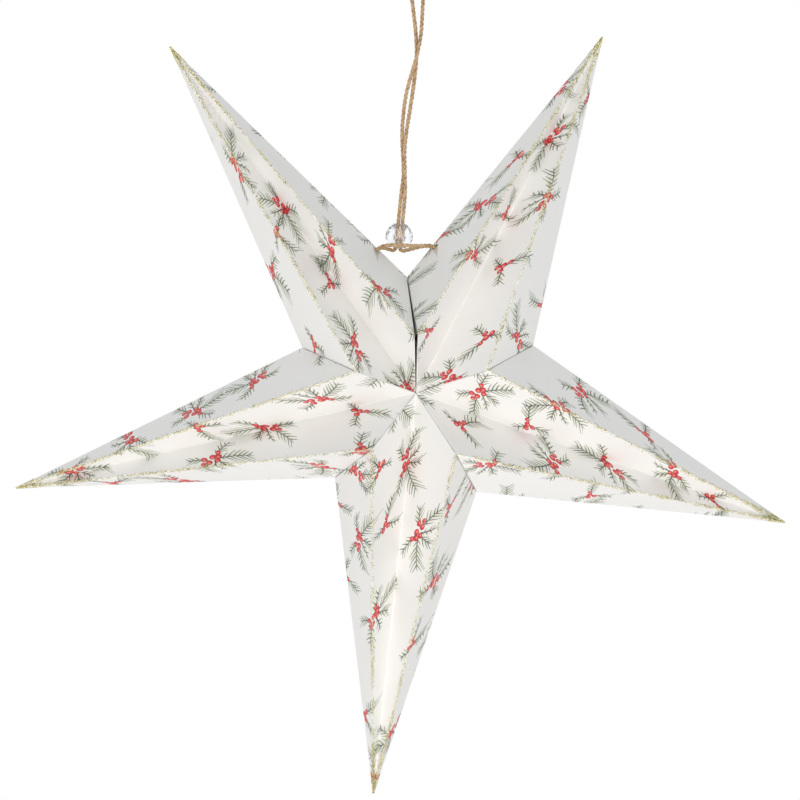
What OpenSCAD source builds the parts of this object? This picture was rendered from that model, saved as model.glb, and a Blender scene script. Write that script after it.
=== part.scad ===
// Hanging five-pointed paper star: five folded card arms, a jute twine and a clear bead.
// Millimetres. The front faces -Y and +Z is up. The origin is the inside of the twine's
// top bend, where the star hangs on a hook.

/* [Star] */
// Distance from the hub to a tip, along the middle plane
tip_r = 236; // [200:1:260]
// Distance from the hub to the notch between two arms
notch_r = 69; // [62:1:78]
// Distance from the hub to the inner end of a ridge
ridge_r = 36.5; // [32:0.5:42]
// Height of a ridge's inner end above the middle plane
ridge_h = 60; // [50:1:70]
// Height of the sunk hub above the middle plane
hub_h = 21; // [16:1:30]
// How unevenly the arms have opened: 0 is a regular star, 1 is as it hangs
unevenness = 1; // [0:0.1:1]

/* [Card] */
// Thickness of the card
card_t = 0.4; // [0.3:0.05:0.6]
// Width of a glue tab
tab_w = 12; // [8:0.5:14]
// How far a glue tab stops short of each corner of its seam
tab_end = 4; // [2:0.5:6]
// Thickness of the glue between two tabs
glue_t = 0.1; // [0.06:0.02:0.2]
// Width of the slit in the top seam, at the inner end of its ridges
slit_w = 1.8; // [0.8:0.1:2.6]
// Length of a tip that is pressed solid
tip_press = 8; // [7:0.5:10]

/* [Twine holes] */
// Distance of a hole from the top notch, along the arm's edge
hole_along = 23; // [18:0.5:28]
// Distance of a hole from the arm's edge, across the panel
hole_in = 4; // [3:0.5:6]
// Diameter of a hole
hole_d = 4; // [3.5:0.1:5]

/* [Twine and bead] */
// Diameter of the twine
twine_d = 2.3; // [1.8:0.1:2.4]
// Width of the bead
bead_d = 15.8; // [12:0.1:18]
// Height of the bead between its flat ends
bead_h = 13.4; // [11:0.1:15]
// Diameter of the bead's hole
bore_d = 5.2; // [5:0.1:6.5]
// Facets around the bead
bead_facets = 10; // [8:1:12]

/* [Hidden] */

// Depth of the hub below the bend of the twine that hangs on the hook
hub_drop = 240;

// Seams are numbered counter-clockwise from the right, and arm k lies between seams k and k + 1
arm_count = 5;
arm_step = 360 / arm_count;
top_seam = 1;
// Swing of each seam about the hub, in degrees, and shift of its notch and of its ridge end
seam_swing = [3, 3.5, -3.5, -6.6, -4.1];
notch_shift = [5, -3, 0, -1.5, 0];
ridge_shift = [2, -3.5, 0, 1.5, 0];
// Swing of each tip about the hub, in degrees, its stretch, and its lean to the front
tip_swing = [7.8, -0.7, -4.4, -5.8, -1.6];
tip_stretch = [-2, 2.8, 0.4, 0.5, -1.7];
tip_lean = [-11.5, 4.5, -4, 4, -4.5];

// Half the width of the slit at the notch and at the hub, where it closes
slit_end = 0.15;
// Distance of the last full cross-section from the tip
tip_section = tip_press + 6;
// Share of the tab's width by which it tapers beside the hub
hub_taper = 0.35;
// Length of the punch that makes a hole, well through the card
punch_reach = 6 * card_t;

card_colour = "ivory";
twine_colour = "tan";
bead_colour = "lightcyan";

front = [0, -1, 0];
hub = [0, 0, -hub_drop];

function unit(v) = v / norm(v);
function radial(angle) = [cos(angle), 0, sin(angle)];
function tangent(angle) = [-sin(angle), 0, cos(angle)];
function next(i, n) = (i + 1) % n;
function before(i, n) = (i + n - 1) % n;
// A direction, turned over if it points away from a target
function turned(v, target) = v * target > 0 ? v : -v;

// A plane is [unit normal, distance]; the point where three of them meet
function plane(normal, point) = [normal, normal * point];
function lifted(p, height) = [p[0], p[1] + height];
function meet(p, q, r) =
    (p[1] * cross(q[0], r[0]) + q[1] * cross(r[0], p[0]) + r[1] * cross(p[0], q[0]))
    / (p[0] * cross(q[0], r[0]));

// Seam k: its angle, and its points at the notch, at a ridge's end and beside the hub.
// side is 1 at the front and -1 at the back; hand is 1 for the arm after the seam, -1 before it.
function seam_angle(k) = 90 + arm_step * (k - top_seam) + unevenness * seam_swing[k % arm_count];
function seam_gap(k, closed) = k % arm_count == top_seam ? closed : glue_t / 2;
function notch(k, hand) = let (a = seam_angle(k), r = notch_r + unevenness * notch_shift[k % arm_count])
    hub + r * radial(a) + hand * seam_gap(k, slit_end) * tangent(a);
function ridge_end(k, hand, side) =
    let (a = seam_angle(k), r = ridge_r + unevenness * ridge_shift[k % arm_count])
    hub + r * radial(a) + hand * seam_gap(k, slit_w / 2) * tangent(a) + side * ridge_h * front;
function hub_corner(k, side) =
    let (a = seam_angle(k), b = seam_angle(k + 1))
    hub + (seam_gap(k + 1, slit_end) * radial(a) + seam_gap(k, slit_end) * radial(b)) / sin(b - a)
    + side * hub_h * front;
function tip(k) = let (a = 90 + arm_step * (k - top_seam + 0.5) + unevenness * tip_swing[k])
    hub + (tip_r + unevenness * tip_stretch[k]) * radial(a) + unevenness * tip_lean[k] * front;

// The eight corners of an arm's open end, from its first seam's notch round the front to the
// second seam's notch and back behind
function corners(k) = [
    notch(k, 1), ridge_end(k, 1, 1), hub_corner(k, 1), ridge_end(k + 1, -1, 1),
    notch(k + 1, -1), ridge_end(k + 1, -1, -1), hub_corner(k, -1), ridge_end(k, 1, -1)
];
SIDES = 8;
// Whether a corner lies on the second seam or beside the hub
function on_second(i) = i > 2 && i < 6;
function at_hub(i) = i == 2 || i == 6;
// The middle of the half seam that a stretch from corner i to the next belongs to, and its normal
function seam_parts(c, i) = [c[i > 1 && i < 6 ? 4 : 0], c[2 * floor(i / 2) + 1], c[i < 4 ? 2 : 6]];
function seam_middle(c, i) = let (s = seam_parts(c, i)) (s[0] + s[1] + s[2]) / 3;
function seam_normal(c, i) = let (s = seam_parts(c, i)) unit(cross(s[1] - s[0], s[2] - s[0]));

// How far a tab's free edge is cut back at corner i, on the stretch to the other corner: a mitre
// against the tab beside it, and a plain taper at the hub
function cut_back(c, i, other) =
    let (beside = other == next(i, SIDES) ? before(i, SIDES) : next(i, SIDES),
         corner = acos(unit(c[other] - c[i]) * unit(c[beside] - c[i])))
    at_hub(i) ? hub_taper * tab_w : tab_w / tan(corner / 2);

// One sheet of card, folded into a hollow arm with a glue tab on each half seam. The points are
// the tip, a section near it, the corners, the tabs' roots and the tabs' free edges, first on
// the printed side and then on the inner side.
module folded_card(k) {
    t = tip(k);
    c = corners(k);
    axis = unit(hub - t);
    middle = hub + notch_r / 2 * unit(c[0] + c[4] - 2 * hub);
    panel = [for (i = [0:SIDES - 1]) plane(unit(cross(c[i] - t, c[next(i, SIDES)] - t)), t)];
    lining = [for (p = panel) lifted(p, card_t)];
    run = [for (i = [0:SIDES - 1]) unit(c[next(i, SIDES)] - c[i])];
    tab = [for (i = [0:SIDES - 1]) turned(seam_normal(c, i), middle - c[i])];
    across = [for (i = [0:SIDES - 1]) turned(cross(tab[i], run[i]), seam_middle(c, i) - c[i])];
    cut_start = [for (i = [0:SIDES - 1]) cut_back(c, i, next(i, SIDES))];
    cut_end = [for (i = [0:SIDES - 1]) cut_back(c, next(i, SIDES), i)];

    section = [for (v = c) t + (v - t) * tip_section / ((v - t) * axis)];
    roots = [for (i = [0:SIDES - 1]) each [c[i] + tab_end * run[i], c[next(i, SIDES)] - tab_end * run[i]]];
    edges = [for (i = [0:SIDES - 1]) each [
        roots[2 * i] + cut_start[i] * run[i] + tab_w * across[i],
        roots[2 * i + 1] - cut_end[i] * run[i] + tab_w * across[i]]];

    section_in = [for (i = [0:SIDES - 1])
        meet(lining[before(i, SIDES)], lining[i], plane(axis, section[i]))];
    corners_in = [for (i = [0:SIDES - 1])
        let (cut = at_hub(i) ? unit(c[0] + c[4] - 2 * hub)
                   : tangent(seam_angle(on_second(i) ? k + 1 : k)))
        meet(lining[before(i, SIDES)], lining[i], plane(cut, c[i]))];
    roots_in = [for (j = [0:2 * SIDES - 1]) let (i = floor(j / 2))
        meet(lining[i], lifted(plane(tab[i], roots[j]), card_t), plane(run[i], roots[j]))];
    edges_in = [for (j = [0:2 * SIDES - 1]) edges[j] + card_t * tab[floor(j / 2)]];

    printed = concat([t], section, c, roots, edges);
    inner = concat([t + tip_press * axis], section_in, corners_in, roots_in, edges_in);
    count = len(printed);
    // Where each list starts
    s0 = 1;
    c0 = s0 + SIDES;
    r0 = c0 + SIDES;
    e0 = r0 + 2 * SIDES;
    skin = [for (i = [0:SIDES - 1]) let (n = next(i, SIDES)) each [
        [0, s0 + i, s0 + n],
        [s0 + i, c0 + i, r0 + 2 * i],
        [s0 + i, r0 + 2 * i, r0 + 2 * i + 1],
        [s0 + i, r0 + 2 * i + 1, c0 + n],
        [s0 + i, c0 + n, s0 + n],
        [r0 + 2 * i + 1, r0 + 2 * i, e0 + 2 * i],
        [r0 + 2 * i + 1, e0 + 2 * i, e0 + 2 * i + 1]]];
    rim = [for (i = [0:SIDES - 1]) each [
        c0 + i, r0 + 2 * i, e0 + 2 * i, e0 + 2 * i + 1, r0 + 2 * i + 1]];
    lining_skin = [for (f = skin) [f[2] + count, f[1] + count, f[0] + count]];
    rim_skin = [for (j = [0:len(rim) - 1]) let (p = rim[j], q = rim[next(j, len(rim))]) each [
        [q, p, p + count], [q, p + count, q + count]]];
    polyhedron(points = concat(printed, inner), faces = concat(skin, lining_skin, rim_skin));
}

// A punched hole beside the top notch: arm k, the corner at its notch and the ridge end beyond it
function hole_spot(k, n, p) =
    let (t = tip(k), c = corners(k), edge = unit(t - c[n]), reach = c[p] - c[n],
         over = unit(reach - (reach * edge) * edge))
    c[n] + hole_along * edge + hole_in * over;
function hole_axis(k, n, p) =
    let (t = tip(k), c = corners(k)) unit(cross(t - c[n], c[p] - c[n]));
module punch(k, n, p) {
    a = hole_axis(k, n, p);
    translate(hole_spot(k, n, p)) rotate([0, acos(a[2]), atan2(a[1], a[0])])
        cylinder(d = hole_d, h = punch_reach, center = true, $fn = 48);
}

module plain_arm(k) {
    color(card_colour) folded_card(k);
}

module upper_right_arm() {
    color(card_colour) difference() {
        folded_card(0);
        punch(0, 4, 3);
        punch(0, 4, 5);
    }
}

module upper_left_arm() {
    color(card_colour) difference() {
        folded_card(1);
        punch(1, 0, 1);
        punch(1, 0, 7);
    }
}

// The twine, from its knot in the upper left arm across the front of the bead, through the upper
// right arm, up through the bead, over the hook, down again and back through the upper left arm.
// It rounds off the corners of this route.
twine_route = [
    [-27, -2.3, -165], [-19.8, -5.2, -157.2], [-13, -8, -156.5], [-5, -8.8, -156.9],
    [4, -5.8, -157], [10.2, -2.9, -156.4], [15.2, -1.7, -160], [17.6, 1.5, -161.9],
    [15.2, 4.8, -160.1], [9.8, 5.9, -155.9], [3, 3.6, -156.9], [-2.2, 1.4, -158.6],
    [-8.2, 0, -160], [-7.7, 0, -154.6], [-5.5, 0, -132.4], [-5.1, -0.8, -126],
    [-5.2, -1.2, -116], [-5.7, -1.2, -102], [-4.1, -0.4, -90], [-0.8, 0.5, -70],
    [1.3, 1.3, -55], [1.6, 1.1, -40], [-0.8, 0, -20], [-3.5, 0, -3],
    [-1, 0, twine_d / 2], [4, 0, twine_d / 2], [6.4, 0, -3], [4.9, 0, -20],
    [4, -1.1, -39], [-0.3, -1.3, -56], [-4.8, -0.5, -70], [-7, 0.4, -90],
    [-6.5, 1.2, -102], [-5.7, 1.2, -116], [-7.2, 0.8, -126], [-7.9, 0, -132.4],
    [-10.1, 0, -154.6], [-10.6, 0, -159.8], [-16.2, 1.5, -157.8], [-20, 4.2, -157.2],
    [-27, 1, -165]
];
TWINE_SIDES = 8;
CORNER_STEPS = 2;

// A route with each corner rounded off, from the middle of one stretch to the middle of the next
function rounded(r, i, s) = let (a = (r[i - 1] + r[i]) / 2, b = (r[i] + r[i + 1]) / 2)
    (1 - s) * (1 - s) * a + 2 * s * (1 - s) * r[i] + s * s * b;
function smooth(r) = [
    r[0],
    for (i = [1:len(r) - 2], j = [0:CORNER_STEPS - 1]) rounded(r, i, j / CORNER_STEPS),
    rounded(r, len(r) - 2, 1),
    r[len(r) - 1]
];
// A direction square to each point's run, carried along the curve without twist
function runs(path) = [for (i = [0:len(path) - 1])
    unit(path[min(i + 1, len(path) - 1)] - path[max(i - 1, 0)])];
function carried(run, i, last, list) =
    i == len(run) ? list
    : let (v = unit(last - (last * run[i]) * run[i])) carried(run, i + 1, v, concat(list, [v]));

// A round tube along a path, closed at both ends
module tube(path, d, sides) {
    run = runs(path);
    side = carried(run, 0, cross(run[0], front), []);
    count = len(path);
    points = [for (i = [0:count - 1], j = [0:sides - 1]) let (a = 360 * j / sides)
        path[i] + d / 2 * (cos(a) * side[i] + sin(a) * cross(run[i], side[i]))];
    walls = [for (i = [0:count - 2], j = [0:sides - 1])
        let (k = next(j, sides), a = i * sides, b = a + sides)
        each [[a + j, b + j, b + k], [a + j, b + k, a + k]]];
    ends = [[for (j = [0:sides - 1]) j], [for (j = [0:sides - 1]) count * sides - 1 - j]];
    polyhedron(points = points, faces = concat(walls, ends));
}

module twine() {
    color(twine_colour) tube(smooth(twine_route), twine_d, TWINE_SIDES);
}

// The knot that joins the twine's two ends, with its cut tails
knot_spot = [-29.3, -0.6, -167.3];
knot_tail = 7;
knot_r = 0.85 * twine_d;
knot_thickness = 1.2 * twine_d;
module twine_knot() {
    color(twine_colour) translate(knot_spot) rotate([90, 45, 0]) union() {
        rotate_extrude($fn = 32) translate([knot_r, 0]) circle(d = knot_thickness, $fn = 24);
        for (swing = [-24, 24]) rotate([0, 0, swing]) translate([0, -twine_d, 0]) rotate([90, 0, 0])
            cylinder(d = twine_d, h = knot_tail, $fn = 24);
    }
}

// The bead, leaning with the twine. Each ring is [share of the half height, share of the radius],
// and every second ring is turned by half a facet.
bead_spot = [-8.5, 0, -150.9];
bead_lean = 5.5;
BEAD_RINGS = [[-1, 0.5], [-0.68, 0.8], [-0.25, 1], [0.25, 1], [0.68, 0.8], [1, 0.5]];
// Width and depth of the flare at each end of the bead's hole, and how far its cutter reaches
flare = 0.6;
flare_cut = 2 * flare;
module bead() {
    n = bead_facets;
    last = len(BEAD_RINGS) - 1;
    points = [for (i = [0:last], j = [0:n - 1]) let (r = BEAD_RINGS[i], a = 360 / n * (j + (i % 2) / 2))
        [bead_d / 2 * r[1] * cos(a), bead_d / 2 * r[1] * sin(a), bead_h / 2 * r[0]]];
    bands = [for (i = [0:last - 1], j = [0:n - 1])
        let (a = i * n, b = a + n, k = next(j, n), odd = i % 2 == 1)
        each (odd ? [[a + j, b + j, b + k], [a + j, b + k, a + k]]
                  : [[a + j, b + j, a + k], [a + k, b + j, b + k]])];
    ends = [[for (j = [0:n - 1]) j], [for (j = [0:n - 1]) last * n + n - 1 - j]];
    color(bead_colour) translate(bead_spot) rotate([0, bead_lean, 0]) difference() {
        polyhedron(points = points, faces = concat(bands, ends));
        cylinder(d = bore_d, h = 2 * bead_h, center = true, $fn = 64);
        for (end = [0, 180]) rotate([end, 0, 0]) translate([0, 0, bead_h / 2 - flare])
            cylinder(d1 = bore_d, d2 = bore_d + 2 * flare_cut, h = flare_cut, $fn = 64);
    }
}

upper_right_arm();
upper_left_arm();
plain_arm(2);  // left_arm
plain_arm(3);  // bottom_arm
plain_arm(4);  // right_arm
bead();
twine();
twine_knot();
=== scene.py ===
"""Hanging five-pointed paper star: the looks of its card, glitter, print, bead and jute twine.

Metres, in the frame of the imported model: the front faces -Y, +Z is up, and the origin is the
inside of the twine's top bend.
"""
import math
import random

import bmesh
import bpy
from mathutils import Matrix, Vector, noise


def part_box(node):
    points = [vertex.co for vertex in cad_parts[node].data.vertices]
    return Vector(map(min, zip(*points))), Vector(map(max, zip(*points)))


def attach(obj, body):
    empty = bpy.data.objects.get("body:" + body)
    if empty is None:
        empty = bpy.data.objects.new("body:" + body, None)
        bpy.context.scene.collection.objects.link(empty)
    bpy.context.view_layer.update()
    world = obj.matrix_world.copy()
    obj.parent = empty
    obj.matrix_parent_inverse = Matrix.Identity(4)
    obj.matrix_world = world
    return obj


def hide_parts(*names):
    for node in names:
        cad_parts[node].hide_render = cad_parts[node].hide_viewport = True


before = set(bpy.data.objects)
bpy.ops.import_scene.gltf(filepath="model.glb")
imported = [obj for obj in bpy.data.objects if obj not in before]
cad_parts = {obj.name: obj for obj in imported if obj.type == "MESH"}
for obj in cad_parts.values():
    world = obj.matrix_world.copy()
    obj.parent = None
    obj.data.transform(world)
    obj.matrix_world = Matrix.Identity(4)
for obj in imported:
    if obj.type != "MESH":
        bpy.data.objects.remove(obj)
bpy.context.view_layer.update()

MM = 0.001
FRONT = Vector((0, -1, 0))
HUB = Vector((0, 0, -240)) * MM
ARMS = ["upper_right_arm", "upper_left_arm", "left_arm", "bottom_arm", "right_arm"]


def link(obj):
    bpy.context.scene.collection.objects.link(obj)
    return obj


def mesh_object(name, points, faces):
    """A new object from lists of points and faces."""
    mesh = bpy.data.meshes.new(name)
    mesh.from_pydata([tuple(p) for p in points], [], faces)
    mesh.update()
    return link(bpy.data.objects.new(name, mesh))


# The camera, as in the photograph

CAMERA_SPOT = Vector((-41, -747.8, -205.3)) * MM
CAMERA_FORWARD = Vector((0.044, 0.998, -0.053)).normalized()
# Lens and sensor width in millimetres, and the nearest seen distance
CAMERA_LENS = 58.5
CAMERA_SENSOR = 36
CAMERA_NEAR = 0.01


def add_camera():
    data = bpy.data.cameras.new("camera")
    data.lens = CAMERA_LENS
    data.sensor_width = CAMERA_SENSOR
    data.sensor_fit = "HORIZONTAL"
    data.clip_start = CAMERA_NEAR
    camera = link(bpy.data.objects.new("camera", data))
    right = CAMERA_FORWARD.cross(Vector((0, 0, 1))).normalized()
    up = right.cross(CAMERA_FORWARD)
    turn = Matrix((right, up, -CAMERA_FORWARD)).transposed().to_4x4()
    camera.matrix_world = Matrix.Translation(CAMERA_SPOT) @ turn
    bpy.context.scene.camera = camera


# The twine: a jute cord of three strands. The route is the model's own, in millimetres.

TWINE_D = 2.3 * MM
TWINE_ROUTE = [
    (-27, -2.3, -165), (-19.8, -5.2, -157.2), (-13, -8, -156.5), (-5, -8.8, -156.9),
    (4, -5.8, -157), (10.2, -2.9, -156.4), (15.2, -1.7, -160), (17.6, 1.5, -161.9),
    (15.2, 4.8, -160.1), (9.8, 5.9, -155.9), (3, 3.6, -156.9), (-2.2, 1.4, -158.6),
    (-8.2, 0, -160), (-7.7, 0, -154.6), (-5.5, 0, -132.4), (-5.1, -0.8, -126),
    (-5.2, -1.2, -116), (-5.7, -1.2, -102), (-4.1, -0.4, -90), (-0.8, 0.5, -70),
    (1.3, 1.3, -55), (1.6, 1.1, -40), (-0.8, 0, -20), (-3.5, 0, -3),
    (-1, 0, 1.15), (4, 0, 1.15), (6.4, 0, -3), (4.9, 0, -20),
    (4, -1.1, -39), (-0.3, -1.3, -56), (-4.8, -0.5, -70), (-7, 0.4, -90),
    (-6.5, 1.2, -102), (-5.7, 1.2, -116), (-7.2, 0.8, -126), (-7.9, 0, -132.4),
    (-10.1, 0, -154.6), (-10.6, 0, -159.8), (-16.2, 1.5, -157.8), (-20, 4.2, -157.2),
    (-27, 1, -165),
]
TWINE_SEED = 11
CORNER_STEPS = 16
STRANDS = 3
STRAND_SIDES = 8
TWIST_PITCH = 8.5 * MM
RING_STEP = 0.6 * MM
# How far a strand's middle lies from the twine's, and a strand's radius
STRAND_AWAY = 0.55 * TWINE_D / 2
STRAND_R = 0.47 * TWINE_D / 2
# A strand's thickness changes a little, from one value to the next over this many rings
SLUB_RINGS = 5
SLUB_SIZES = (0.9, 1.08)


def rounded_route():
    """The route with each corner rounded off, from the middle of one stretch to the next."""
    r = [Vector(p) * MM for p in TWINE_ROUTE]
    path = [r[0]]
    for a, b, c in zip(r, r[1:], r[2:]):
        start, end = (a + b) / 2, (b + c) / 2
        for j in range(CORNER_STEPS):
            s = j / CORNER_STEPS
            path.append((1 - s) ** 2 * start + 2 * s * (1 - s) * b + s * s * end)
    return path + [(r[-2] + r[-1]) / 2, r[-1]]


def evenly(path, step):
    """Points along a path, about a step apart."""
    lengths = [0]
    for a, b in zip(path, path[1:]):
        lengths.append(lengths[-1] + (b - a).length)
    count = round(lengths[-1] / step)
    spots = []
    i = 0
    for j in range(count + 1):
        want = lengths[-1] * j / count
        while i < len(path) - 2 and lengths[i + 1] < want:
            i += 1
        span = lengths[i + 1] - lengths[i]
        spots.append(path[i].lerp(path[i + 1], (want - lengths[i]) / span if span else 0))
    return spots


def carried_frames(path):
    """At each point the run and two directions square to it, carried along without twist."""
    side = (path[1] - path[0]).cross(FRONT).normalized()
    frames = []
    for i in range(len(path)):
        run = (path[min(i + 1, len(path) - 1)] - path[max(i - 1, 0)]).normalized()
        side = (side - side.dot(run) * run).normalized()
        frames.append((run, side, run.cross(side)))
    return frames


def tube(points, faces, path, radii, sides):
    """Adds a closed round tube along a path to the lists, with a radius for each place."""
    base = len(points)
    for spot, radius, (_, side, other) in zip(path, radii, carried_frames(path)):
        for j in range(sides):
            a = 2 * math.pi * j / sides
            points.append(spot + radius * (math.cos(a) * side + math.sin(a) * other))
    for i in range(len(path) - 1):
        for j in range(sides):
            k = (j + 1) % sides
            a, b = base + i * sides, base + (i + 1) * sides
            faces.append((a + j, a + k, b + k, b + j))
    last = base + (len(path) - 1) * sides
    faces.append([base + j for j in reversed(range(sides))])
    faces.append([last + j for j in range(sides)])


def strand_path(path, frames, number):
    """The path of one strand, which winds about the twine's own."""
    spots = []
    for i, (spot, (_, side, other)) in enumerate(zip(path, frames)):
        a = 2 * math.pi * (i * RING_STEP / TWIST_PITCH + number / STRANDS)
        spots.append(spot + STRAND_AWAY * (math.cos(a) * side + math.sin(a) * other))
    return spots


def slub(sizes, ring):
    """The share of its usual thickness that a strand has at a ring."""
    i, past = divmod(ring, SLUB_RINGS)
    return sizes[i] + (sizes[i + 1] - sizes[i]) * past / SLUB_RINGS


def add_twine(material):
    path = evenly(rounded_route(), RING_STEP)
    frames = carried_frames(path)
    rng = random.Random(TWINE_SEED)
    points, faces = [], []
    for number in range(STRANDS):
        sizes = [rng.uniform(*SLUB_SIZES) for _ in range(len(path) // SLUB_RINGS + 2)]
        radii = [STRAND_R * slub(sizes, i) for i in range(len(path))]
        tube(points, faces, strand_path(path, frames, number), radii, STRAND_SIDES)
    twine = mesh_object("jute_twine", points, faces)
    twine.data.shade_smooth()
    fibres = add_fibres(path, frames, rng)
    for piece in (twine, fibres):
        piece.data.materials.append(material)
        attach(piece, "star")
    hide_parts("twine")


FIBRE_COUNT = 420
FIBRE_R = 0.045 * MM
FIBRE_SIDES = 3
FIBRE_STEPS = 5
# How much thinner a fibre's end is, its length in millimetres, and its lift and curl for that length
FIBRE_TAPER = 0.6
FIBRE_REACH = (1.5, 4.5)
FIBRE_LIFT = (0.1, 0.5)
FIBRE_CURL = 0.4
# Where a fibre starts, as a share of the twine's thickness, and the rings at each end with none
FIBRE_ROOT = 0.42
BARE_RINGS = 12
# No fibre stands in the bead's way, or past these places, where the twine goes into the arms
BEAD_WAY_X = -8 * MM
BEAD_WAY_HALF = 9 * MM
BEAD_WAY_BELOW = 4 * MM
BEAD_WAY_ABOVE = 14 * MM
BARE_LEFT = -20 * MM
BARE_RIGHT = 10 * MM


def takes_fibres(spot, bead_low, bead_high):
    beside_bead = bead_low.z - BEAD_WAY_BELOW < spot.z < bead_high.z + BEAD_WAY_ABOVE
    if beside_bead and abs(spot.x - BEAD_WAY_X) < BEAD_WAY_HALF:
        return False
    return BARE_LEFT <= spot.x <= BARE_RIGHT


def add_fibres(path, frames, rng):
    """Stray jute fibres that stand off the twine, outside the bead and the arms."""
    points, faces = [], []
    bead_low, bead_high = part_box("bead")
    radii = [FIBRE_R * (1 - FIBRE_TAPER * j / FIBRE_STEPS) for j in range(FIBRE_STEPS + 1)]
    for _ in range(FIBRE_COUNT):
        i = rng.randrange(BARE_RINGS, len(path) - BARE_RINGS)
        spot = path[i]
        if not takes_fibres(spot, bead_low, bead_high):
            continue
        run, side, other = frames[i]
        a = rng.uniform(0, 2 * math.pi)
        out = math.cos(a) * side + math.sin(a) * other
        along = run * rng.choice((-1, 1))
        reach = rng.uniform(*FIBRE_REACH) * MM
        lift = rng.uniform(*FIBRE_LIFT) * reach
        curl = rng.uniform(-FIBRE_CURL, FIBRE_CURL) * reach
        sideways = out.cross(along)
        line = []
        for j in range(FIBRE_STEPS + 1):
            s = j / FIBRE_STEPS
            line.append(spot + out * (FIBRE_ROOT * TWINE_D + lift * s * s) + along * reach * s
                        + sideways * curl * s * s)
        tube(points, faces, line, radii, FIBRE_SIDES)
    return mesh_object("twine_fibres", points, faces)


# The card of each arm, folded from one sheet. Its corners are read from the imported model.

CARD_T = 0.4 * MM
SIDES = 8
TAB_W = 12 * MM
TAB_END = 4 * MM
HUB_TAPER = 0.35
# The printed skin is cut off this far from the tip, and its end point lies at a share of that
TIP_CUT = 1.6 * MM
TIP_POINT = 0.8
TIP_PRESS = 8 * MM
# Each punched hole: the corner at its notch and the ridge's end beyond it
HOLES = {"upper_right_arm": [(4, 3), (4, 5)], "upper_left_arm": [(0, 1), (0, 7)]}
HOLE_ALONG = 23 * MM
HOLE_IN = 4 * MM
HOLE_D = 4 * MM
HOLE_SIDES = 32
PUNCH_REACH = 6 * CARD_T

# Distance from a crease over which the card bends, the next column and a tab's first row in bends,
# how much less a valley bends, and how soon the bend is full, counted from the tip
BEND = 0.5 * MM
SECOND_COLUMN = 2.4
TAB_ROW = 1.4
VALLEY_BEND = 0.3
FULL_BEND = 20
# The most that the first columns take of a panel's width, and the least and most of a tab's root
FIRST_SHARE = 0.12
SECOND_SHARE = 0.06
ROOT_STEP = 0.01
ROOT_SHARE = 0.3
MIDDLE_COLUMNS = [0.36, 0.5, 0.64]
# Ten columns to a panel: the crease, two beside it, the tab's root, three in the middle and so on
COLUMNS = 10
ROOT_0, ROOT_1 = 3, 7
ROW_STEP = 4 * MM
NEAR_TIP_ROWS = [1.6 * MM, 3 * MM, 5 * MM, 8 * MM, 11 * MM]
FIRST_FULL_ROW = 14 * MM
# Height of a panel's unevenness, how fast it fades at the seam and the tip, and its pace across a
# panel, along it, from panel to panel and from sheet to sheet
WAVE = 0.5 * MM
WAVE_SEAM_FADE = 6
WAVE_TIP_FADE = 3
WAVE_PACE = (1.7, 5, 3.1, 17)

# To find the panels of a solid: how far off a plane a corner may lie, when two faces share a way,
# the smallest panel, and the least distance from the tip to the open end
PLANE_SLACK = 0.02 * MM
SAME_WAY = 0.9999
SMALLEST_PANEL = 5 * MM * MM
OPEN_END = 100 * MM
# Corners are counted from a little before the first one's angle
ANGLE_SLACK = 0.1


def read_corners(name):
    """The tip of an arm and the eight corners of its open end, in order round the front."""
    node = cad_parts[name]
    spots = [v.co for v in node.data.vertices]
    tip = max(spots, key=lambda p: (p - HUB).length).copy()
    normals = []
    for face in node.data.polygons:
        through_tip = abs((tip - spots[face.vertices[0]]).dot(face.normal)) < PLANE_SLACK
        new = all(n.dot(face.normal) < SAME_WAY for n in normals)
        if through_tip and new and face.area > SMALLEST_PANEL:
            normals.append(face.normal.copy())
    corners = []
    for p in spots:
        on = [n for n in normals if abs((p - tip).dot(n)) < PLANE_SLACK]
        new = all((p - q).length > MM for q in corners)
        if len(on) >= 2 and (p - tip).length > OPEN_END and new:
            corners.append(p.copy())
    first_side = (tip - HUB).cross(FRONT).normalized()

    def turn(p):
        angle = math.atan2((p - HUB).dot(FRONT), (p - HUB).dot(first_side))
        return (angle + ANGLE_SLACK) % (2 * math.pi)

    return tip, sorted(corners, key=turn)


def mitre(a, b):
    """The offset of an edge between two faces with these inner normals, for one card thickness."""
    return CARD_T * (a + b) / (1 + a.dot(b))


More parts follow.
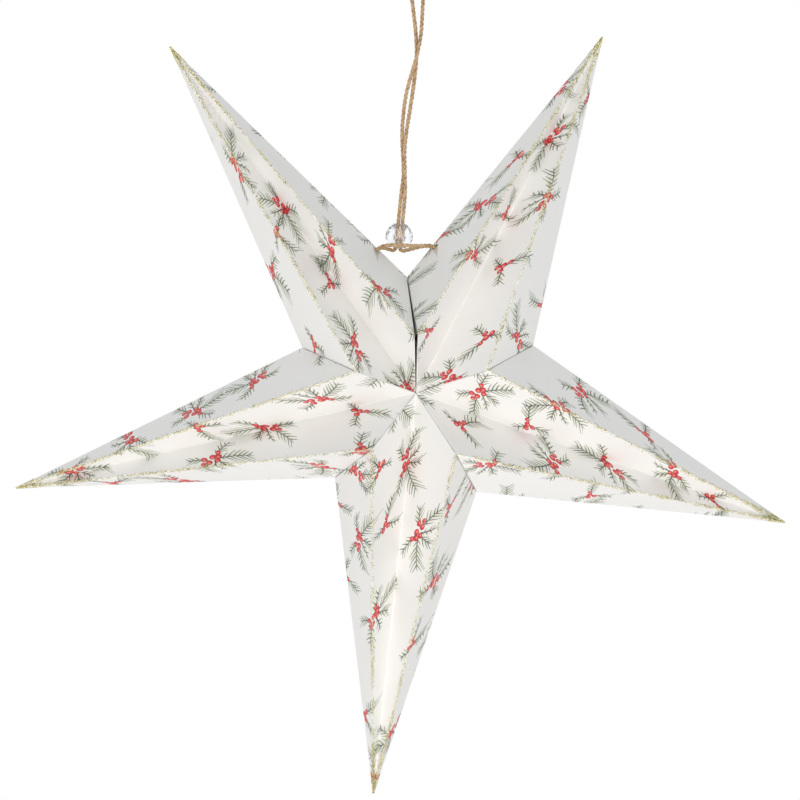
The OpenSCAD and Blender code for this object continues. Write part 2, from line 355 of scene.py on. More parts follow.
class Sheet:
    """One folded sheet: its panels, seams and tabs, and a grid of points on its two skins."""

    def __init__(self, name, number):
        self.number = number
        self.tip, self.corners = read_corners(name)
        c, t = self.corners, self.tip
        self.outward = (t - HUB).normalized()
        self.normal, self.tab_normal, self.across, self.run = [], [], [], []
        inside = (t + HUB) / 2
        for i in range(SIDES):
            a, b = c[i], c[(i + 1) % SIDES]
            n = (a - t).cross(b - t).normalized()
            self.normal.append(n)
            run = (b - a).normalized()
            notch, ridge, hub = c[4 if 1 < i < 6 else 0], c[2 * (i // 2) + 1], c[2 if i < 4 else 6]
            seam = (ridge - notch).cross(hub - notch).normalized()
            if seam.dot(inside - a) < 0:
                seam = -seam
            across = seam.cross(run)
            if across.dot((notch + ridge + hub) / 3 - a) < 0:
                across = -across
            self.run.append(run)
            self.tab_normal.append(seam)
            self.across.append(across)
        self.angles = [0]
        for i in range(SIDES):
            self.angles.append(self.angles[-1] + (c[i] - t).angle(c[(i + 1) % SIDES] - t))
        length = (c[1] - t).length
        full = length - SECOND_COLUMN * BEND - FIRST_FULL_ROW
        count = int((length - FIRST_FULL_ROW) / ROW_STEP)
        rows = NEAR_TIP_ROWS + [FIRST_FULL_ROW + full * k / count for k in range(count + 1)]
        rows += [length - BEND, length]
        self.rows = [r / length for r in rows]

    def fold(self, i):
        """The turn of the card at crease i, positive where the crease stands out."""
        before, after = self.normal[i - 1], self.normal[i]
        angle = before.angle(after)
        stands_out = (self.corners[(i + 1) % SIDES] - self.tip).dot(before) > 0
        return angle if stands_out else -angle

    def shares(self, i, s, inner):
        """The places of the columns of panel i across a row at share s of the way to the seam."""
        width = (self.corners[(i + 1) % SIDES] - self.corners[i]).length
        here = max(width * s, 1e-6)
        halves = []
        for crease in (i, (i + 1) % SIDES):
            fold = self.fold(crease)
            extra = CARD_T * math.tan(fold / 2) if inner and fold > 0 else 0
            near = min((BEND + extra) / here, FIRST_SHARE)
            second = min((SECOND_COLUMN * BEND + extra) / here, near + SECOND_SHARE)
            halves.append((near, second, min(max(TAB_END / width, second + ROOT_STEP), ROOT_SHARE)))
        (a, b, r), (a2, b2, r2) = halves
        return [0, a, b, r, *MIDDLE_COLUMNS, 1 - r2, 1 - b2, 1 - a2]

    def wave(self, i, f, s):
        """A slight unevenness of the panel, none at its edges."""
        across, along, panel, sheet = WAVE_PACE
        spot = Vector((f * across, s * along, i * panel + self.number * sheet))
        shape = 4 * f * (1 - f) * min(1, WAVE_SEAM_FADE * (1 - s)) * min(1, WAVE_TIP_FADE * s)
        return WAVE * shape * noise.noise(spot)

    def skins(self):
        """Rings of points on the printed skin and on the inner skin, from the tip to the seams."""
        skins = []
        for inner in (False, True):
            rings = []
            for s in self.rows:
                rings.append([])
                for i in range(SIDES):
                    for j, f in enumerate(self.shares(i, s, inner)):
                        rings[-1].append(self.crease_point(i, s, inner) if j == 0
                                         else self.panel_point(i, j, f, s, inner))
            skins.append(rings)
        return skins

    def crease_point(self, i, s, inner):
        """A point on crease i, where the card bends."""
        before, after = self.normal[i - 1], self.normal[i]
        gap = BEND * min(1, FULL_BEND * s) * math.tan(self.fold(i) / 4)
        gap *= 1 if gap > 0 else VALLEY_BEND
        p = self.tip + s * (self.corners[i] - self.tip) + gap * (before + after).normalized()
        if not inner:
            return p
        return p + (self.corner_offset(i) if s == 1 else mitre(before, after))

    def panel_point(self, i, j, f, s, inner):
        """A point inside panel i, in column j, at share f of the way across."""
        a, b = self.corners[i], self.corners[(i + 1) % SIDES]
        n = self.normal[i]
        p = self.tip + s * (a.lerp(b, f) - self.tip) + self.wave(i, f, s) * n
        if s == 1 and ROOT_0 <= j <= ROOT_1:
            turn = n.angle(self.tab_normal[i])
            p += BEND * math.tan(turn / 4) * (n + self.tab_normal[i]).normalized()
        if not inner:
            return p
        return p + (self.edge_offset(i, j) if s == 1 else CARD_T * n)

    def corner_offset(self, i):
        """Where the inner skin lies at a corner: on both linings, and in the plane of the cut."""
        if i in (2, 6):
            cut = self.outward
        else:
            seam = self.tab_normal[i]
            cut = Vector((seam.x, 0, seam.z)).normalized()
        rows = Matrix((self.normal[i - 1], self.normal[i], cut))
        return rows.inverted() @ Vector((CARD_T, CARD_T, 0))

    def edge_offset(self, i, j):
        n, tab = self.normal[i], self.tab_normal[i]
        if ROOT_0 <= j <= ROOT_1:
            return mitre(n, tab)
        level = (n - n.dot(tab) * tab).normalized()
        return CARD_T * level / level.dot(n)

    def cut_back(self, i, other, beside):
        """How far a tab's free edge is cut back at corner i."""
        if i in (2, 6):
            return HUB_TAPER * TAB_W
        c = self.corners
        return TAB_W / math.tan((c[other] - c[i]).angle(c[beside] - c[i]) / 2)

    def tab(self, i, roots):
        """Two rows of points on the tab of panel i: beside its fold, and at its free edge."""
        c = self.corners
        k = (i + 1) % SIDES
        a = c[i] + TAB_END * self.run[i]
        b = c[k] - TAB_END * self.run[i]
        start = a + self.cut_back(i, k, i - 1) * self.run[i] + TAB_W * self.across[i]
        end = b - self.cut_back(k, i, (k + 1) % SIDES) * self.run[i] + TAB_W * self.across[i]
        near, far = [], []
        for j in range(ROOT_0, ROOT_1 + 1):
            f = (roots[j] - roots[ROOT_0]) / (roots[ROOT_1] - roots[ROOT_0])
            root, edge = a.lerp(b, f), start.lerp(end, f)
            near.append(root.lerp(edge, TAB_ROW * BEND / TAB_W))
            far.append(edge)
        return near, far


def add_sheet(name, number, printed, plain):
    """The mesh of one arm: two skins joined by a rim, with a tab on each half seam."""
    sheet = Sheet(name, number)
    outer, inner = sheet.skins()
    ring = SIDES * COLUMNS
    first = len(NEAR_TIP_ROWS)
    points = [p for row in outer for p in row]
    inner_base = len(points)
    points += [p for row in inner[first:] for p in row]
    faces, sides = [], []

    def add(face, is_printed):
        faces.append(face)
        sides.append(0 if is_printed else 1)

    def strips(base, rows, is_printed):
        for r in range(rows - 1):
            for q in range(ring):
                k = (q + 1) % ring
                a, b = base + r * ring, base + (r + 1) * ring
                face = (a + q, b + q, b + k, a + k)
                add(face if is_printed else face[::-1], is_printed)

    strips(0, len(outer), True)
    strips(inner_base, len(outer) - first, False)
    inwards = (sheet.corners[2] + sheet.corners[6] - 2 * sheet.tip).normalized()
    points.append(sheet.tip + inwards * TIP_CUT * TIP_POINT)
    for q in range(ring):
        add((len(points) - 1, q, (q + 1) % ring), True)
    points.append(sheet.tip - TIP_PRESS * sheet.outward)
    for q in range(ring):
        add((len(points) - 1, inner_base + (q + 1) % ring, inner_base + q), False)

    last_outer = (len(outer) - 1) * ring
    last_inner = inner_base + (len(outer) - 1 - first) * ring
    rim = []
    for i in range(SIDES):
        tab_rows = sheet.tab(i, sheet.shares(i, 1, False))
        offset = CARD_T * sheet.tab_normal[i]
        width = ROOT_1 - ROOT_0 + 1
        at = {}
        for skin, shift in (("out", Vector()), ("in", offset)):
            for r, row in enumerate(tab_rows):
                at[skin, r] = len(points)
                points += [p + shift for p in row]
        for skin, last in (("out", last_outer), ("in", last_inner)):
            for j in range(width - 1):
                root = last + i * COLUMNS + ROOT_0 + j
                near, far = at[skin, 0] + j, at[skin, 1] + j
                for face in ((root, near, near + 1, root + 1), (near, far, far + 1, near + 1)):
                    add(face if skin == "out" else face[::-1], False)
        start = i * COLUMNS
        rim += [(last_outer + start + j, last_inner + start + j) for j in range(ROOT_0 + 1)]
        rim.append((at["out", 0], at["in", 0]))
        rim += [(at["out", 1] + j, at["in", 1] + j) for j in range(width)]
        rim.append((at["out", 0] + width - 1, at["in", 0] + width - 1))
        rim += [(last_outer + start + j, last_inner + start + j) for j in range(ROOT_1, COLUMNS)]
    for (a, a_in), (b, b_in) in zip(rim, rim[1:] + rim[:1]):
        add((a, a_in, b_in, b), False)

    obj = mesh_object(name + "_card", points, faces)
    mesh = obj.data
    mesh.materials.append(printed)
    mesh.materials.append(plain)
    mesh.polygons.foreach_set("material_index", sides)
    lay_flat(mesh, sheet, len(outer) * ring, ring)
    clean = bmesh.new()
    clean.from_mesh(mesh)
    bmesh.ops.recalc_face_normals(clean, faces=clean.faces)
    clean.to_mesh(mesh)
    clean.free()
    mesh.shade_smooth()
    numbers = mesh.attributes.new("sheet_number", "FLOAT", "POINT")
    numbers.data.foreach_set("value", [float(number)] * len(mesh.vertices))
    if name in HOLES:
        punch(obj, sheet, HOLES[name], plain)
    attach(obj, "star")
    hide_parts(name)
    return sheet


def lay_flat(mesh, sheet, printed_points, ring):
    """Maps each point to its place on the flat sheet, in millimetres about the tip."""
    layer = mesh.uv_layers.new(name="sheet")
    for face in mesh.polygons:
        spots = [mesh.loops[k].vertex_index for k in face.loop_indices]
        columns = [v % ring for v in spots if v < printed_points]
        wraps = columns and max(columns) - min(columns) > ring / 2
        for k, v in zip(face.loop_indices, spots):
            p = mesh.vertices[v].co - sheet.tip
            q = v % ring if v < printed_points else 0
            i = q // COLUMNS
            angle = sheet.angles[i]
            if q % COLUMNS:
                angle += (sheet.corners[i] - sheet.tip).angle(p)
            if wraps and q == 0:
                angle = sheet.angles[SIDES]
            layer.data[k].uv = (p.length / MM * math.cos(angle), p.length / MM * math.sin(angle))


def punch(obj, sheet, holes, plain):
    """Cuts the round holes for the twine through one side panel each."""
    for n, ridge in holes:
        notch = sheet.corners[n]
        edge = (sheet.tip - notch).normalized()
        reach = sheet.corners[ridge] - notch
        over = (reach - reach.dot(edge) * edge).normalized()
        spot = notch + HOLE_ALONG * edge + HOLE_IN * over
        cutter_mesh = bpy.data.meshes.new("punch")
        cutter = bmesh.new()
        bmesh.ops.create_cone(cutter, cap_ends=True, segments=HOLE_SIDES, radius1=HOLE_D / 2,
                              radius2=HOLE_D / 2, depth=PUNCH_REACH)
        cutter.to_mesh(cutter_mesh)
        cutter.free()
        cutter_mesh.materials.append(plain)
        tool = link(bpy.data.objects.new("punch", cutter_mesh))
        turn = edge.cross(over).to_track_quat("Z", "Y").to_matrix().to_4x4()
        tool.matrix_world = Matrix.Translation(spot) @ turn
        cut = obj.modifiers.new("punch", "BOOLEAN")
        cut.operation = "DIFFERENCE"
        cut.solver = "EXACT"
        cut.object = tool
        bpy.context.view_layer.update()
        cut_obj = obj.evaluated_get(bpy.context.evaluated_depsgraph_get())
        made = bpy.data.meshes.new_from_object(cut_obj)
        obj.modifiers.remove(cut)
        old = obj.data
        obj.data = made
        bpy.data.meshes.remove(old)
        bpy.data.objects.remove(tool)
        bpy.data.meshes.remove(cutter_mesh)


# Glitter on the ridges: loose closed grains, thickest at the tips

GLITTER_SEED = 100
GRAINS_PER_RIDGE = 2200
GRAIN_SIZES = (0.28 * MM, 0.62 * MM)
GRAIN_CORNERS = ((1, 1, 1), (1, -1, -1), (-1, 1, -1), (-1, -1, 1))
GRAIN_FACES = ((0, 1, 2), (0, 3, 1), (0, 2, 3), (1, 3, 2))
# How far out a grain's corners lie, the most it is turned by, and how deep it sits in the glue
GRAIN_CORNER = 0.8
GRAIN_TURN = 6.28
GRAIN_SINK = 0.05 * MM
# Half the band's width, how much wider it is in a thick patch, and how strongly it grows to the tip
BAND = 0.75 * MM
THICK_BAND = 0.6
TO_THE_TIP = 1.5
# Patches along a ridge, and the share of the grains that the thinnest keeps
PATCHES = 24
THINNEST = 0.25
# Near the tip the panels are covered too, over this share of the distance to the tip
TIP_GLITTER = 13 * MM
TIP_SPREAD = 0.3


def add_glitter(name, sheet, material):
    rng = random.Random(GLITTER_SEED + sheet.number)
    points, faces = [], []
    start = sheet.tip
    for corner in (1, 3, 5, 7):
        end = sheet.corners[corner]
        length = (end - start).length
        ridge = (end - start).normalized()
        patches = [rng.uniform(0, 1) for _ in range(PATCHES)]
        placed = 0
        while placed < GRAINS_PER_RIDGE:
            d = length * rng.random() ** TO_THE_TIP
            here = patches[int(d / length * (PATCHES - 0.01))]
            at_tip = d < TIP_GLITTER
            if not at_tip and rng.random() > THINNEST + (1 - THINNEST) * here:
                continue
            placed += 1
            side = rng.choice((0, 1))
            n = sheet.normal[corner - 1 + side]
            away = sheet.corners[(corner - 1 + 2 * side) % SIDES] - start
            over = (away - away.dot(ridge) * ridge).normalized()
            w = abs(rng.gauss(0, BAND * (1 + THICK_BAND * here)))
            if at_tip:
                w = rng.random() * TIP_SPREAD * d
            spot = start + ridge * max(d, TIP_CUT) + over * w - n * GRAIN_SINK
            grain(points, faces, spot, rng)
    glitter = mesh_object(name + "_glitter", points, faces)
    glitter.data.materials.append(material)
    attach(glitter, "star")


def grain(points, faces, spot, rng):
    """One four-sided grain, turned at random."""
    size = rng.uniform(*GRAIN_SIZES) / 2
    angle = rng.uniform(0, GRAIN_TURN)
    axis = Vector([rng.gauss(0, 1) for _ in range(3)])
    turn = Matrix.Rotation(angle, 3, axis)
    base = len(points)
    points += [spot + turn @ Vector(corner) * size * GRAIN_CORNER for corner in GRAIN_CORNERS]
    faces += [(base + a, base + b, base + c) for a, b, c in GRAIN_FACES]


# Materials are written as arithmetic on terms

class Term:
    """A value in a node tree, with arithmetic that adds nodes to the tree."""

    def __init__(self, tree, socket):
        self.tree, self.socket = tree, socket

    def math(self, operation, *others):
        node = self.tree.nodes.new("ShaderNodeMath")
        node.operation = operation
        for slot, value in zip(node.inputs, (self, *others)):
            plug(self.tree, slot, value)
        return Term(self.tree, node.outputs[0])

    def __add__(self, other):
        return self.math("ADD", other)

    def __sub__(self, other):
        return self.math("SUBTRACT", other)

    def __rsub__(self, other):
        return (self - other) * -1

    def __mul__(self, other):
        return self.math("MULTIPLY", other)

    def __truediv__(self, other):
        return self.math("DIVIDE", other)

    def __abs__(self):
        return self.math("ABSOLUTE")

    __radd__ = __add__
    __rmul__ = __mul__

    def step(self, low, high):
        """A smooth step: 0 at low, 1 at high. It falls where low is the higher value."""
        node = self.tree.nodes.new("ShaderNodeMapRange")
        node.interpolation_type = "SMOOTHSTEP"
        plug(self.tree, node.inputs["Value"], self)
        if isinstance(low, (int, float)) and isinstance(high, (int, float)) and low > high:
            low, high = high, low
            node.inputs["To Min"].default_value = 1
            node.inputs["To Max"].default_value = 0
        plug(self.tree, node.inputs["From Min"], low)
        plug(self.tree, node.inputs["From Max"], high)
        return Term(self.tree, node.outputs["Result"])


def plug(tree, slot, value):
    if isinstance(value, Term):
        tree.links.new(value.socket, slot)
    else:
        slot.default_value = value


def joined(tree, x, y, z=0):
    """A vector from three terms or numbers."""
    node = tree.nodes.new("ShaderNodeCombineXYZ")
    for slot, value in zip(node.inputs, (x, y, z)):
        plug(tree, slot, value)
    return Term(tree, node.outputs[0])


def parts(vector):
    """The three terms of a vector."""
    node = vector.tree.nodes.new("ShaderNodeSeparateXYZ")
    plug(vector.tree, node.inputs[0], vector)
    return [Term(vector.tree, out) for out in node.outputs]


def chance(tree, x, y, z=0):
    """Three even random values between 0 and 1 for a numbered place."""
    node = tree.nodes.new("ShaderNodeTexWhiteNoise")
    node.noise_dimensions = "3D"
    plug(tree, node.inputs["Vector"], joined(tree, x, y, z))
    colour = tree.nodes.new("ShaderNodeSeparateColor")
    tree.links.new(node.outputs["Color"], colour.inputs[0])
    return [Term(tree, out) for out in colour.outputs]


def cloud(tree, vector, scale, detail=2):
    """Soft noise around 0.5."""
    node = tree.nodes.new("ShaderNodeTexNoise")
    node.inputs["Scale"].default_value = scale
    node.inputs["Detail"].default_value = detail
    plug(tree, node.inputs["Vector"], vector)
    return Term(tree, node.outputs["Fac"])


def blend(tree, share, first, second):
    """A colour that goes from the first to the second."""
    node = tree.nodes.new("ShaderNodeMix")
    node.data_type = "RGBA"
    plug(tree, node.inputs["Factor"], share)
    colour_slots = [slot for slot in node.inputs if slot.type == "RGBA"]
    for slot, value in zip(colour_slots, (first, second)):
        plug(tree, slot, value if isinstance(value, Term) else (*value, 1))
    return Term(tree, [out for out in node.outputs if out.type == "RGBA"][0])


def new_material(name):
    material = bpy.data.materials.new(name)
    material.use_nodes = True
    return material, material.node_tree, material.node_tree.nodes["Principled BSDF"]


def new_group(name, inputs, outputs):
    """A node group with plain number sockets, and the terms of its inputs."""
    tree = bpy.data.node_groups.new(name, "ShaderNodeTree")
    for title in inputs:
        tree.interface.new_socket(title, in_out="INPUT", socket_type="NodeSocketFloat")
    for title in outputs:
        tree.interface.new_socket(title, in_out="OUTPUT", socket_type="NodeSocketFloat")
    start = tree.nodes.new("NodeGroupInput")
    return tree, [Term(tree, out) for out in start.outputs[:len(inputs)]]


def close_group(tree, results):
    end = tree.nodes.new("NodeGroupOutput")
    for slot, value in zip(end.inputs, results):
        plug(tree, slot, value)


def use_group(tree, group, values):
    """The outputs of a group that is fed with these values."""
    node = tree.nodes.new("ShaderNodeGroup")
    node.node_tree = group
    for slot, value in zip(node.inputs, values):
        plug(tree, slot, value)
    return [Term(tree, out) for out in node.outputs]


def greatest(rows):
    """The greatest term of each column."""
    found = rows[0]
    for row in rows[1:]:
        found = [a.math("MAXIMUM", b) for a, b in zip(found, row)]
    return found


# The print: sprigs of needles and round berries, in millimetres on the flat sheet

# Half the width of a drawn edge
SOFT = 0.07
# Half a needle's width at its tip and what its root adds, and the same for the stem
NEEDLE_TIP = 0.14
NEEDLE_ROOT = 0.18
STEM_ROOT = 0.36
STEM_TAPER = 0.16
# How much a needle curves, how far it strays from its place, and how faint the faintest is
NEEDLE_CURVE = 0.07
NEEDLE_STRAY = 0.35
NEEDLE_INK = 0.8
# The shortest needle's share of the full length, and what chance adds
SHORT_NEEDLE = 0.62
NEEDLE_SPREAD = 0.5
# Where the wash lies along a sprig, and how long and wide it and its green core are
WASH_MIDDLE = 0.66
WASH_LENGTH = 0.5
WASH_WIDTH = 0.75
CORE_WIDTH = 0.5
SPRIG_INPUTS = ["X", "Y", "X0", "Y0", "Turn", "Length", "Bow", "Needle", "Slant", "Gap", "Seed"]


def sprig_group():
    """One sprig with slanted, curved needles on both sides of a bent stem."""
    tree, (x, y, x0, y0, turn, length, bow, needle, slant, gap, seed) = new_group(
        "sprig", SPRIG_INPUTS, ["Ink", "Wash", "Shade"])
    c, s = turn.math("COSINE"), turn.math("SINE")
    dx, dy = x - x0, y - y0
    along = dx * c + dy * s
    off = dy * c - dx * s - bow * along * along
    side = off.math("GREATER_THAN", 0)
    h = abs(off)

    # The needle at this point: its root on the stem, its number and its own chances
    root = along - h * slant - h * h * NEEDLE_CURVE
    place = root / length
    count = root / gap + side * 0.5
    number = count.math("FLOOR")
    size, dark, shift = chance(tree, number, side, seed)
    lean = (slant * slant + 1).math("SQRT")
    across = abs(count - number - 0.5 + (shift - 0.5) * NEEDLE_STRAY) * gap / lean
    envelope = place.step(-0.05, 0.35) * (1 - place.step(0.75, 1.6))
    # A little length is added so that no division is by nothing
    reach = needle * envelope * (size * NEEDLE_SPREAD + SHORT_NEEDLE) + 0.05
    far = h * lean / reach
    width = (1.1 - far) * NEEDLE_ROOT + NEEDLE_TIP
    here = place.math("GREATER_THAN", 0.02) * place.math("LESS_THAN", 1)
    stroke = (width - across).step(-SOFT, SOFT) * here * (1 - far.step(0.85, 1.0))
    stroke = stroke * (dark * (1 - NEEDLE_INK) + NEEDLE_INK)

    on_stem = along.step(0, 0.6) * (1 - (along - length).step(0, 2.5))
    stem = (STEM_ROOT - along / length * STEM_TAPER - h).step(-SOFT, SOFT) * on_stem
    wide = off / (needle * WASH_WIDTH)
    long = (along - length * WASH_MIDDLE) / (length * WASH_LENGTH)
    core = off / (needle * CORE_WIDTH)
    wash = 1 - (wide * wide + long * long).step(0.2, 1.1)
    shade = 1 - (core * core + long * long).step(0, 1.2)
    close_group(tree, [stroke.math("MAXIMUM", stem), wash, shade])
    return tree


# How flat a berry is, and where its light spot lies
BERRY_FLAT = 1.25
LIGHT_X = 0.25
LIGHT_Y = -0.2


def berry_group():
    """One round berry: its face, its darker rim and its light spot."""
    tree, (x, y, x0, y0, radius) = new_group("berry", ["X", "Y", "X0", "Y0", "Radius"],
                                             ["Face", "Rim", "Light"])
    dx, dy = (x - x0) / radius, (y - y0) / radius
    far = (dx * dx + dy * dy * BERRY_FLAT).math("SQRT")
    face = 1 - far.step(0.92, 1.08)
    rim = far.step(0.55, 0.95)
    lx, ly = dx + LIGHT_X, dy + LIGHT_Y
    light = 1 - (lx * lx + ly * ly).math("SQRT").step(0.15, 0.6)
    close_group(tree, [face, rim, light])
    return tree


# Sprigs of a motif: start x and y, turn in degrees, length, bow, needle, slant and gap
BOUQUET_SPRIGS = [
    (1.0, 0.4, 12, 17, 0.012, 7.4, 0.85, 2.5), (-2.0, 0.6, 160, 14, -0.016, 5.8, 0.8, 2.5),
    (0.8, 1.0, 62, 8.5, 0.03, 5.2, 1.1, 2.2), (0.6, -0.8, -36, 12.5, 0.015, 4.6, 0.7, 2.4),
    (-2.8, -0.6, 222, 9.5, -0.03, 4.8, 0.9, 2.3), (-0.2, 1.0, 108, 9.5, 0.02, 3.0, 0.7, 2.8),
]
# Berries of a motif: x, y and radius
BOUQUET_BERRIES = [
    (0.2, -1.5, 1.85), (3.1, -0.5, 1.7), (1.1, 1.6, 1.65), (4.3, -3.2, 1.5), (-3.4, 0.9, 1.75),
    (-4.6, -2.1, 1.65), (-6.6, 0.6, 1.4),
]
POSY_SPRIGS = [
    (0.4, 0.2, 20, 12.5, 0.018, 6.0, 0.85, 2.4), (-0.4, 0.2, 142, 9.5, -0.02, 4.4, 0.85, 2.3),
    (0, -0.4, 262, 8.5, 0.02, 3.6, 0.7, 2.5),
]
POSY_BERRIES = [(0.4, -0.9, 1.75), (-2.3, 0.7, 1.55), (-1.9, -2.9, 1.6), (3.3, 0.6, 1.4)]
# Each layout of motifs: the cell's size, its shift from the tip, how far a motif strays, the seed,
# and the share of the cells that stay empty
LARGE_LAYOUT = {"cell": 41, "shift": 0, "drift": 6, "seed": 3, "empty": 0.06}
SMALL_LAYOUT = {"cell": 41, "shift": 20.5, "drift": 8, "seed": 5, "empty": 0.3}
# What keeps apart the chances of one sprig and the next, and of a cell's turn and its other chances
SPRIG_SEED = 7
OTHER_SEED = 31
MANY_SEEDS = 100


def motif(name, sprigs, berries, sprig, berry):
    """A node group that draws one motif about its own middle."""
    group, (x, y, seed) = new_group(name, ["X", "Y", "Seed"],
                                    ["Ink", "Wash", "Shade", "Berry", "Rim", "Light"])
    drawn = []
    for k, (x0, y0, turn, *shape) in enumerate(sprigs):
        values = [x, y, x0, y0, math.radians(turn), *shape, seed + k * SPRIG_SEED]
        drawn.append(use_group(group, sprig, values))
    dots = []
    for x0, y0, radius in berries:
        face, rim, light = use_group(group, berry, [x, y, x0, y0, radius])
        dots.append([face, face * rim, face * light])
    close_group(group, greatest(drawn) + greatest(dots))
    return group


def scattered(tree, u, v, group, cell, shift, drift, seed, empty):
    """The motif in each cell of a brick pattern, turned, mirrored and moved at random."""
    row = ((v + shift) / cell).math("FLOOR")
    brick = u + shift + row * (cell / 2)
    column = (brick / cell).math("FLOOR")
    turn, dx, dy = chance(tree, column, row, seed)
    other, mirror, kept = chance(tree, column, row, seed + OTHER_SEED)
    x = brick - (column + 0.5) * cell - (dx - 0.5) * drift
    y = v + shift - (row + 0.5) * cell - (dy - 0.5) * drift
    angle = turn * (2 * math.pi)
    c, s = angle.math("COSINE"), angle.math("SINE")
    flip = mirror.math("GREATER_THAN", 0.5) * 2 - 1
    along, across = x * c + y * s, (y * c - x * s) * flip
    shown = kept.math("GREATER_THAN", empty)
    return [out * shown for out in use_group(tree, group, [along, across, other * MANY_SEEDS + seed])]


PAPER = (0.87, 0.86, 0.838)
PAPER_SHADE = 0.97
INK = (0.022, 0.036, 0.022)
INK_LIGHT = (0.10, 0.14, 0.075)
WASH = (0.80, 0.82, 0.60)
SHADE = (0.30, 0.36, 0.24)
RED = (0.70, 0.05, 0.065)
RED_RIM = (0.42, 0.02, 0.045)
RED_LIGHT = (0.88, 0.30, 0.20)
# How strongly the ink, the wash and the green core of a sprig cover the paper
INK_SHARE = 0.97
WASH_SHARE = 0.4
SHADE_SHARE = 0.2
# How much longer the print is across an arm than along it
PRINT_STRETCH = 1.6
# How far the print's edges bleed, and what sets the print of one sheet apart from the next
BLEED = 0.35
SHEET_APART = 517
SHEET_ASIDE = 0.37
# Noise scales: of the paper per metre, and of the print per millimetre
PAPER_FIBRE = 2600
PAPER_MOTTLE = 45
BLEED_SCALE = 1.6
INK_SCALE = 0.35
WASH_SCALE = 0.25
PAPER_BUMP = 0.12
BUMP_DEPTH = 0.0002


def object_spot(tree):
    """The place in the object's own space, as a vector term."""
    return Term(tree, tree.nodes.new("ShaderNodeTexCoord").outputs["Object"])


def add_bump(tree, shader, height, strength):
    bump = tree.nodes.new("ShaderNodeBump")
    bump.inputs["Strength"].default_value = strength
    bump.inputs["Distance"].default_value = BUMP_DEPTH
    plug(tree, bump.inputs["Height"], height)
    tree.links.new(bump.outputs[0], shader.inputs["Normal"])


def printed(tree, paper, bouquet, posy):
    """The paper's colour with the print on it."""
    sheet = tree.nodes.new("ShaderNodeUVMap")
    sheet.uv_map = "sheet"
    u, v, _ = parts(Term(tree, sheet.outputs["UV"]))
    bleed = (cloud(tree, joined(tree, u, v), BLEED_SCALE) - 0.5) * BLEED
    info = tree.nodes.new("ShaderNodeAttribute")
    info.attribute_name = "sheet_number"
    apart = Term(tree, info.outputs["Fac"]) * SHEET_APART
    u, v = u + bleed + apart, v / PRINT_STRETCH + bleed + apart * SHEET_ASIDE
    large = scattered(tree, u, v, bouquet, **LARGE_LAYOUT)
    small = scattered(tree, u, v, posy, **SMALL_LAYOUT)
    ink, wash, shade, face, rim, light = greatest([large, small])
    flat = joined(tree, u, v)
    tone = cloud(tree, flat, INK_SCALE).step(0.35, 0.65)
    wash = wash * WASH_SHARE * cloud(tree, flat, WASH_SCALE, 3).step(0.3, 0.7)
    colour = blend(tree, wash, paper, WASH)
    colour = blend(tree, shade * SHADE_SHARE, colour, SHADE)
    colour = blend(tree, ink * INK_SHARE, colour, blend(tree, tone, INK, INK_LIGHT))
    red = blend(tree, rim, blend(tree, light, RED, RED_LIGHT), RED_RIM)
    return blend(tree, face, colour, red)


def card_material(name, motifs=None):
    """Lightly sheened card, with the print where its motifs are given."""
    material, tree, shader = new_material(name)
    spot = object_spot(tree)
    mottle = cloud(tree, spot, PAPER_MOTTLE)
    colour = blend(tree, mottle * 0.5, PAPER, tuple(PAPER_SHADE * v for v in PAPER))
    if motifs:
        colour = printed(tree, colour, *motifs)
    plug(tree, shader.inputs["Base Color"], colour)
    shader.inputs["Roughness"].default_value = 0.55
    shader.inputs["Specular IOR Level"].default_value = 0.35
    add_bump(tree, shader, cloud(tree, spot, PAPER_FIBRE, 3), PAPER_BUMP)
    return material


# Colours of the glitter's grains, each with the share of the grains before it
GRAIN_COLOURS = [(0, (0.30, 0.26, 0.08)), (0.25, (0.62, 0.55, 0.22)), (0.55, (0.80, 0.76, 0.42)),
                 (0.8, (0.9, 0.88, 0.74)), (0.93, (0.95, 0.95, 0.93))]


def glitter_material():
    """Grains of pale gold, each of one colour."""
    material, tree, shader = new_material("glitter")
    place = tree.nodes.new("ShaderNodeNewGeometry")
    ramp = tree.nodes.new("ShaderNodeValToRGB")
    ramp.color_ramp.interpolation = "CONSTANT"
    while len(ramp.color_ramp.elements) < len(GRAIN_COLOURS):
        ramp.color_ramp.elements.new(0.5)
    for element, (spot, colour) in zip(ramp.color_ramp.elements, GRAIN_COLOURS):
        element.position = spot
        element.color = (*colour, 1)
    tree.links.new(place.outputs["Random Per Island"], ramp.inputs[0])
    tree.links.new(ramp.outputs[0], shader.inputs["Base Color"])
    shader.inputs["Metallic"].default_value = 0.55
    shader.inputs["Roughness"].default_value = 0.35
    return material


JUTE_LIGHT = (0.64, 0.46, 0.28)
JUTE_DARK = (0.25, 0.145, 0.065)
# Noise scales per metre, how long the streaks are drawn out, and how much each darkens the jute
JUTE_STREAKS = 2400
JUTE_PATCHES = 260
STREAK_LENGTH = 0.3
STREAK_SHARE = 0.75
PATCH_SHARE = 0.45
JUTE_BUMP = 0.6


def jute_material():
    """Fibrous tan jute: dark and light streaks that run along the twine."""
    material, tree, shader = new_material("jute")
    spot = object_spot(tree)
    x, y, z = parts(spot)
    streaks = cloud(tree, joined(tree, x, y, z * STREAK_LENGTH), JUTE_STREAKS)
    patches = cloud(tree, spot, JUTE_PATCHES, 3)
    tone = streaks.step(0.36, 0.6) * STREAK_SHARE + patches.step(0.35, 0.65) * PATCH_SHARE
    plug(tree, shader.inputs["Base Color"], blend(tree, tone, JUTE_DARK, JUTE_LIGHT))
    shader.inputs["Roughness"].default_value = 0.85
    shader.inputs["Specular IOR Level"].default_value = 0.2
    add_bump(tree, shader, streaks, JUTE_BUMP)
    return material


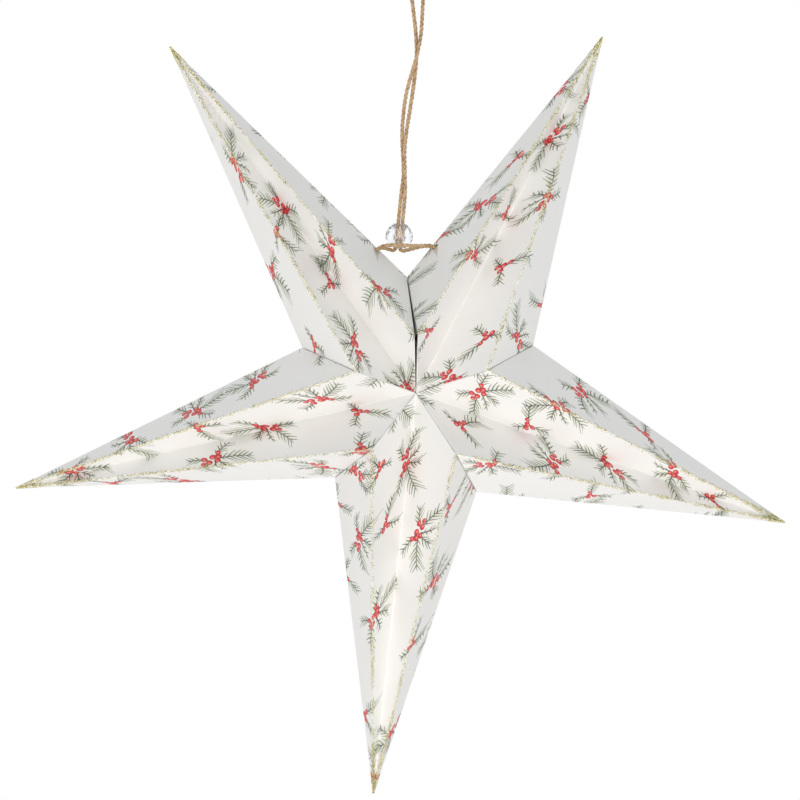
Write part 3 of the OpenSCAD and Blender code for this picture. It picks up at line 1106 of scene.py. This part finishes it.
BEAD_TINT = (0.97, 0.98, 1)
BEAD_SCRATCHES = 900
BEAD_SMOOTH = 0.015
BEAD_ROUGHER = 0.06


def bead_material():
    """Clear plastic or glass with faint scratches."""
    material, tree, shader = new_material("clear_bead")
    scratches = cloud(tree, object_spot(tree), BEAD_SCRATCHES)
    plug(tree, shader.inputs["Roughness"], scratches.step(0.45, 0.8) * BEAD_ROUGHER + BEAD_SMOOTH)
    shader.inputs["Base Color"].default_value = (*BEAD_TINT, 1)
    shader.inputs["Transmission Weight"].default_value = 1
    shader.inputs["IOR"].default_value = 1.49
    return material


# The stage: a pale floor, white behind the star, and soft light from the front

FLOOR_Z = -1.2
FLOOR_HALF = 4
# Level of the surroundings in front and behind and at the sides, and where the one becomes the other
FRONT_LEVEL = 0.91
SIDE_LEVEL = 0.58
SIDE_TO_FRONT = (0.15, 0.85)
AMBIENT_TINT = (0.96, 0.985, 1)
# The one lamp
KEY_SPOT = Vector((-0.15, -1.4, -0.85))
KEY_SIZE = 1.2
KEY_POWER = 15.5
KEY_COLOUR = (1, 0.95, 0.92)


def seen_rays(tree):
    """1 for the rays that show the background itself, also in the bead and the glitter."""
    path = tree.nodes.new("ShaderNodeLightPath")
    camera, glossy, through = [Term(tree, path.outputs["Is " + kind + " Ray"])
                               for kind in ("Camera", "Glossy", "Transmission")]
    return camera.math("MAXIMUM", glossy.math("MAXIMUM", through))


def floor_material():
    """Pale, and plain white where it is seen itself."""
    material = bpy.data.materials.new("floor_white")
    material.use_nodes = True
    tree = material.node_tree
    tree.nodes.clear()
    out = tree.nodes.new("ShaderNodeOutputMaterial")
    mix = tree.nodes.new("ShaderNodeMixShader")
    pale = tree.nodes.new("ShaderNodeBsdfDiffuse")
    white = tree.nodes.new("ShaderNodeEmission")
    plug(tree, mix.inputs[0], seen_rays(tree))
    tree.links.new(pale.outputs[0], mix.inputs[1])
    tree.links.new(white.outputs[0], mix.inputs[2])
    tree.links.new(mix.outputs[0], out.inputs[0])
    return material


def light_world():
    """Soft light from all round, and white where the surroundings are seen themselves."""
    world = bpy.data.worlds.new("white")
    world.use_nodes = True
    bpy.context.scene.world = world
    tree = world.node_tree
    back = tree.nodes["Background"]
    place = tree.nodes.new("ShaderNodeTexCoord")
    _, depth, _ = parts(Term(tree, place.outputs["Generated"]))
    seen = seen_rays(tree)
    level = abs(depth).step(*SIDE_TO_FRONT) * (FRONT_LEVEL - SIDE_LEVEL) + SIDE_LEVEL
    plug(tree, back.inputs["Strength"], level + (1 - level) * seen)
    plug(tree, back.inputs["Color"], blend(tree, seen, AMBIENT_TINT, (1, 1, 1)))


def add_stage():
    corners = [(-1, -1), (1, -1), (1, 1), (-1, 1)]
    spots = [Vector((x * FLOOR_HALF, y * FLOOR_HALF, FLOOR_Z)) for x, y in corners]
    floor = mesh_object("floor", spots, [(0, 1, 2, 3)])
    floor.data.materials.append(floor_material())
    light_world()
    key = bpy.data.lights.new("key", "AREA")
    key.shape = "DISK"
    key.size = KEY_SIZE
    key.energy = KEY_POWER
    key.color = KEY_COLOUR
    lamp = link(bpy.data.objects.new("key", key))
    aim = (HUB - KEY_SPOT).to_track_quat("-Z", "Y").to_matrix().to_4x4()
    lamp.matrix_world = Matrix.Translation(KEY_SPOT) @ aim


bpy.context.scene.view_settings.view_transform = "Standard"
add_camera()
jute = jute_material()
add_twine(jute)
sprig, berry = sprig_group(), berry_group()
bouquet = motif("bouquet", BOUQUET_SPRIGS, BOUQUET_BERRIES, sprig, berry)
posy = motif("posy", POSY_SPRIGS, POSY_BERRIES, sprig, berry)
card = card_material("printed_card", (bouquet, posy))
plain_card = card_material("plain_card")
gold = glitter_material()
for number, name in enumerate(ARMS):
    add_glitter(name, add_sheet(name, number, card, plain_card), gold)
for name, material in (("twine_knot", jute), ("bead", bead_material())):
    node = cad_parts[name]
    node.data.materials.clear()
    node.data.materials.append(material)
add_stage()
